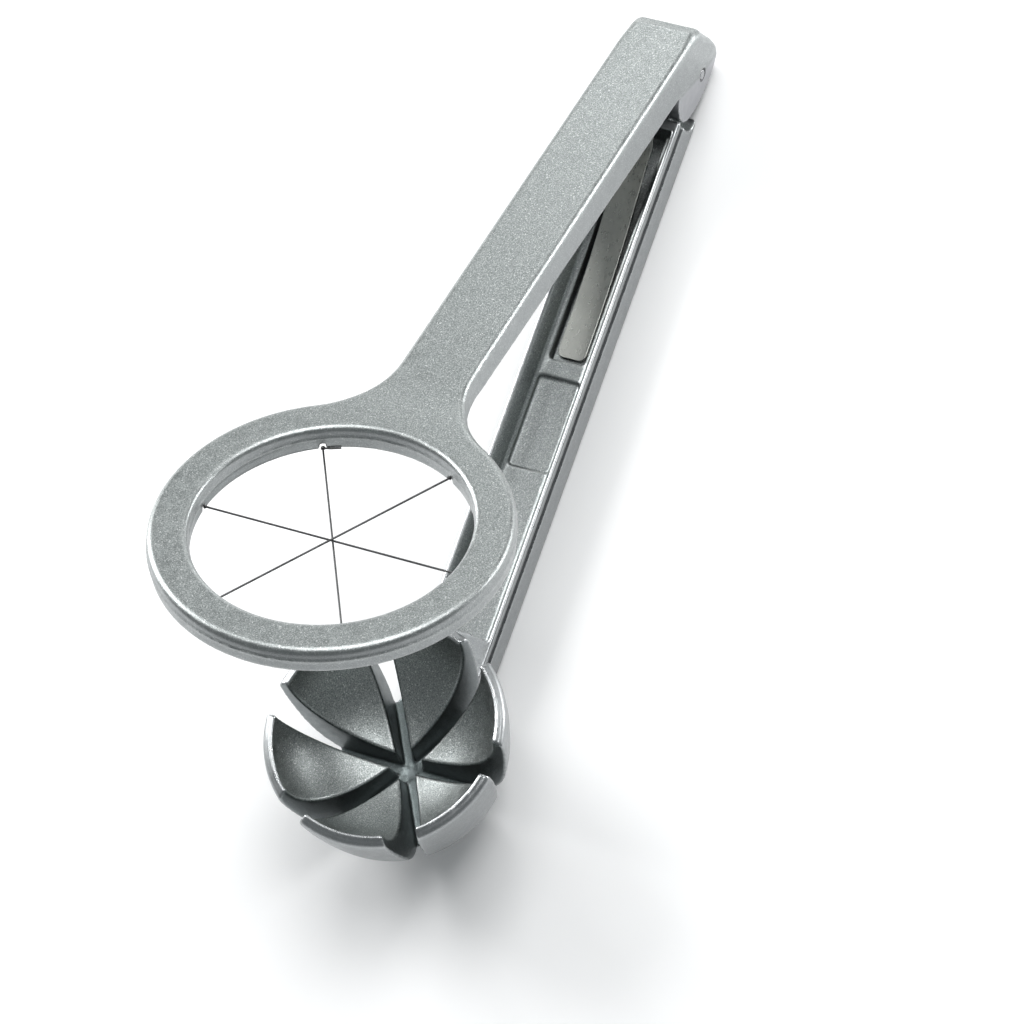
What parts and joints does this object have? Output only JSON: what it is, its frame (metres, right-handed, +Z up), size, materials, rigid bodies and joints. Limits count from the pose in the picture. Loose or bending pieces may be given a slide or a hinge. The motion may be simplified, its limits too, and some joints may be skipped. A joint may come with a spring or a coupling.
{
  "type": "egg slicer",
  "caption": "Hand-held egg wedger: hinged cast-aluminium arms, a wired cutting ring over a slotted petal cup, opened by a flat spring.",
  "frame": {"origin": "middle of the tool's footprint, on the surface the lower arm lies on", "axes": "+X from the hinge to the cup and ring, +Z up from the underside of the lower arm, Y along the hinge pin"},
  "size_m": [0.1748, 0.0648, 0.1006],
  "materials": {
    "casting": "as-cast, fine sandy grain, satin",
    "spring": "smooth tempered strip",
    "wire": "drawn stainless wire",
    "pin": "bright drawn pin"
  },
  "bodies": {
    "lower": {"lower_arm": "casting", "hinge_pin": "pin", "leaf_spring": "spring"},
    "upper": {"upper_arm": "casting", "cutting_wire_1": "wire", "cutting_wire_2": "wire", "cutting_wire_3": "wire", "wire_anchor_1": "pin", "wire_anchor_2": "pin", "wire_anchor_3": "pin", "wire_anchor_4": "pin", "wire_anchor_5": "pin", "wire_anchor_6": "pin"}
  },
  "joints": [
    {"name": "arm_hinge", "type": "hinge", "parent": "lower", "child": "upper", "pos_m": [-0.08039, 0, 0.00655], "axis": [0, 1, 0], "range_deg": [0, 29.6], "stiffness_Nm_per_rad": 0.9, "springref_deg": -17.19, "deforming": ["leaf_spring"]}
  ]
}
